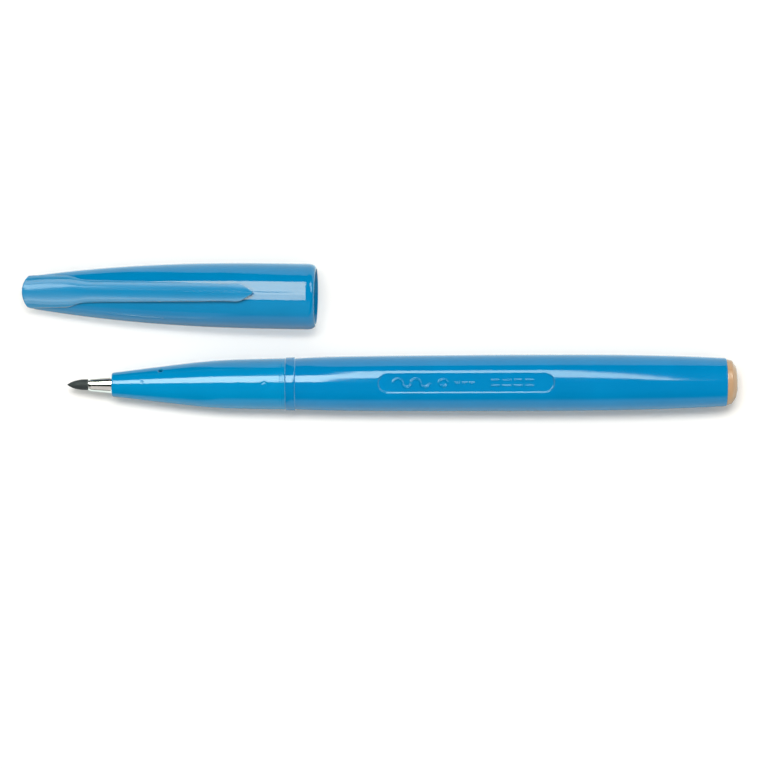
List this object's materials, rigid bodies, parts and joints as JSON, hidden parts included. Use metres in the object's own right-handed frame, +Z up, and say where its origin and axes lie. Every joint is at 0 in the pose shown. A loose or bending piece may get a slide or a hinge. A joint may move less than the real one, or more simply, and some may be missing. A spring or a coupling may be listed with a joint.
{
  "type": "fibre-tip calligraphy marker",
  "caption": "Blue fibre-tip calligraphy marker with tapered grip, sunken ornament panel and tan tail plug; the clipped cap is off and lies beside the barrel.",
  "frame": {"origin": "on the table plane, under the centre of the whole part's bounding box", "axes": "+X along the barrel from the writing point to the tail plug, +Y from the barrel towards the cap lying beside it, +Z up from the table"},
  "size_m": [0.1321, 0.0276, 0.0143],
  "materials": {
    "body_blue": "glossy moulded plastic",
    "cap_blue": "glossy moulded plastic",
    "clip_blue": "satin moulded plastic",
    "ferrule_metal": "polished plated metal",
    "nib_fibre": "ink-soaked bonded fibre",
    "plug_tan": "satin moulded plastic",
    "reservoir": "ink-soaked fibre bundle",
    "film": "thin wrapped film",
    "inner_cap_white": "natural moulded plastic"
  },
  "bodies": {
    "pen": {"barrel": "body_blue", "front_section": "body_blue", "ferrule": "ferrule_metal", "nib": "nib_fibre", "tail_plug": "plug_tan", "reservoir_fibre": "reservoir", "reservoir_film": "film"},
    "cap": {"cap_shell": "cap_blue", "inner_cap": "inner_cap_white", "clip_base": "clip_blue"},
    "clip": {"clip_arm": "clip_blue"}
  },
  "joints": [
    {"name": "cap_slide", "type": "slide", "parent": "pen", "child": "cap", "axis": [-1, 0, 0], "range_m": [0, 0.046]},
    {"name": "clip_flex", "type": "hinge", "parent": "cap", "child": "clip", "pos_m": [-0.05564, 0.00878, 0.00952], "axis": [-0.0238, -0.9983, 0.0523], "range_deg": [0, 4], "stiffness_Nm_per_rad": 1.2}
  ]
}
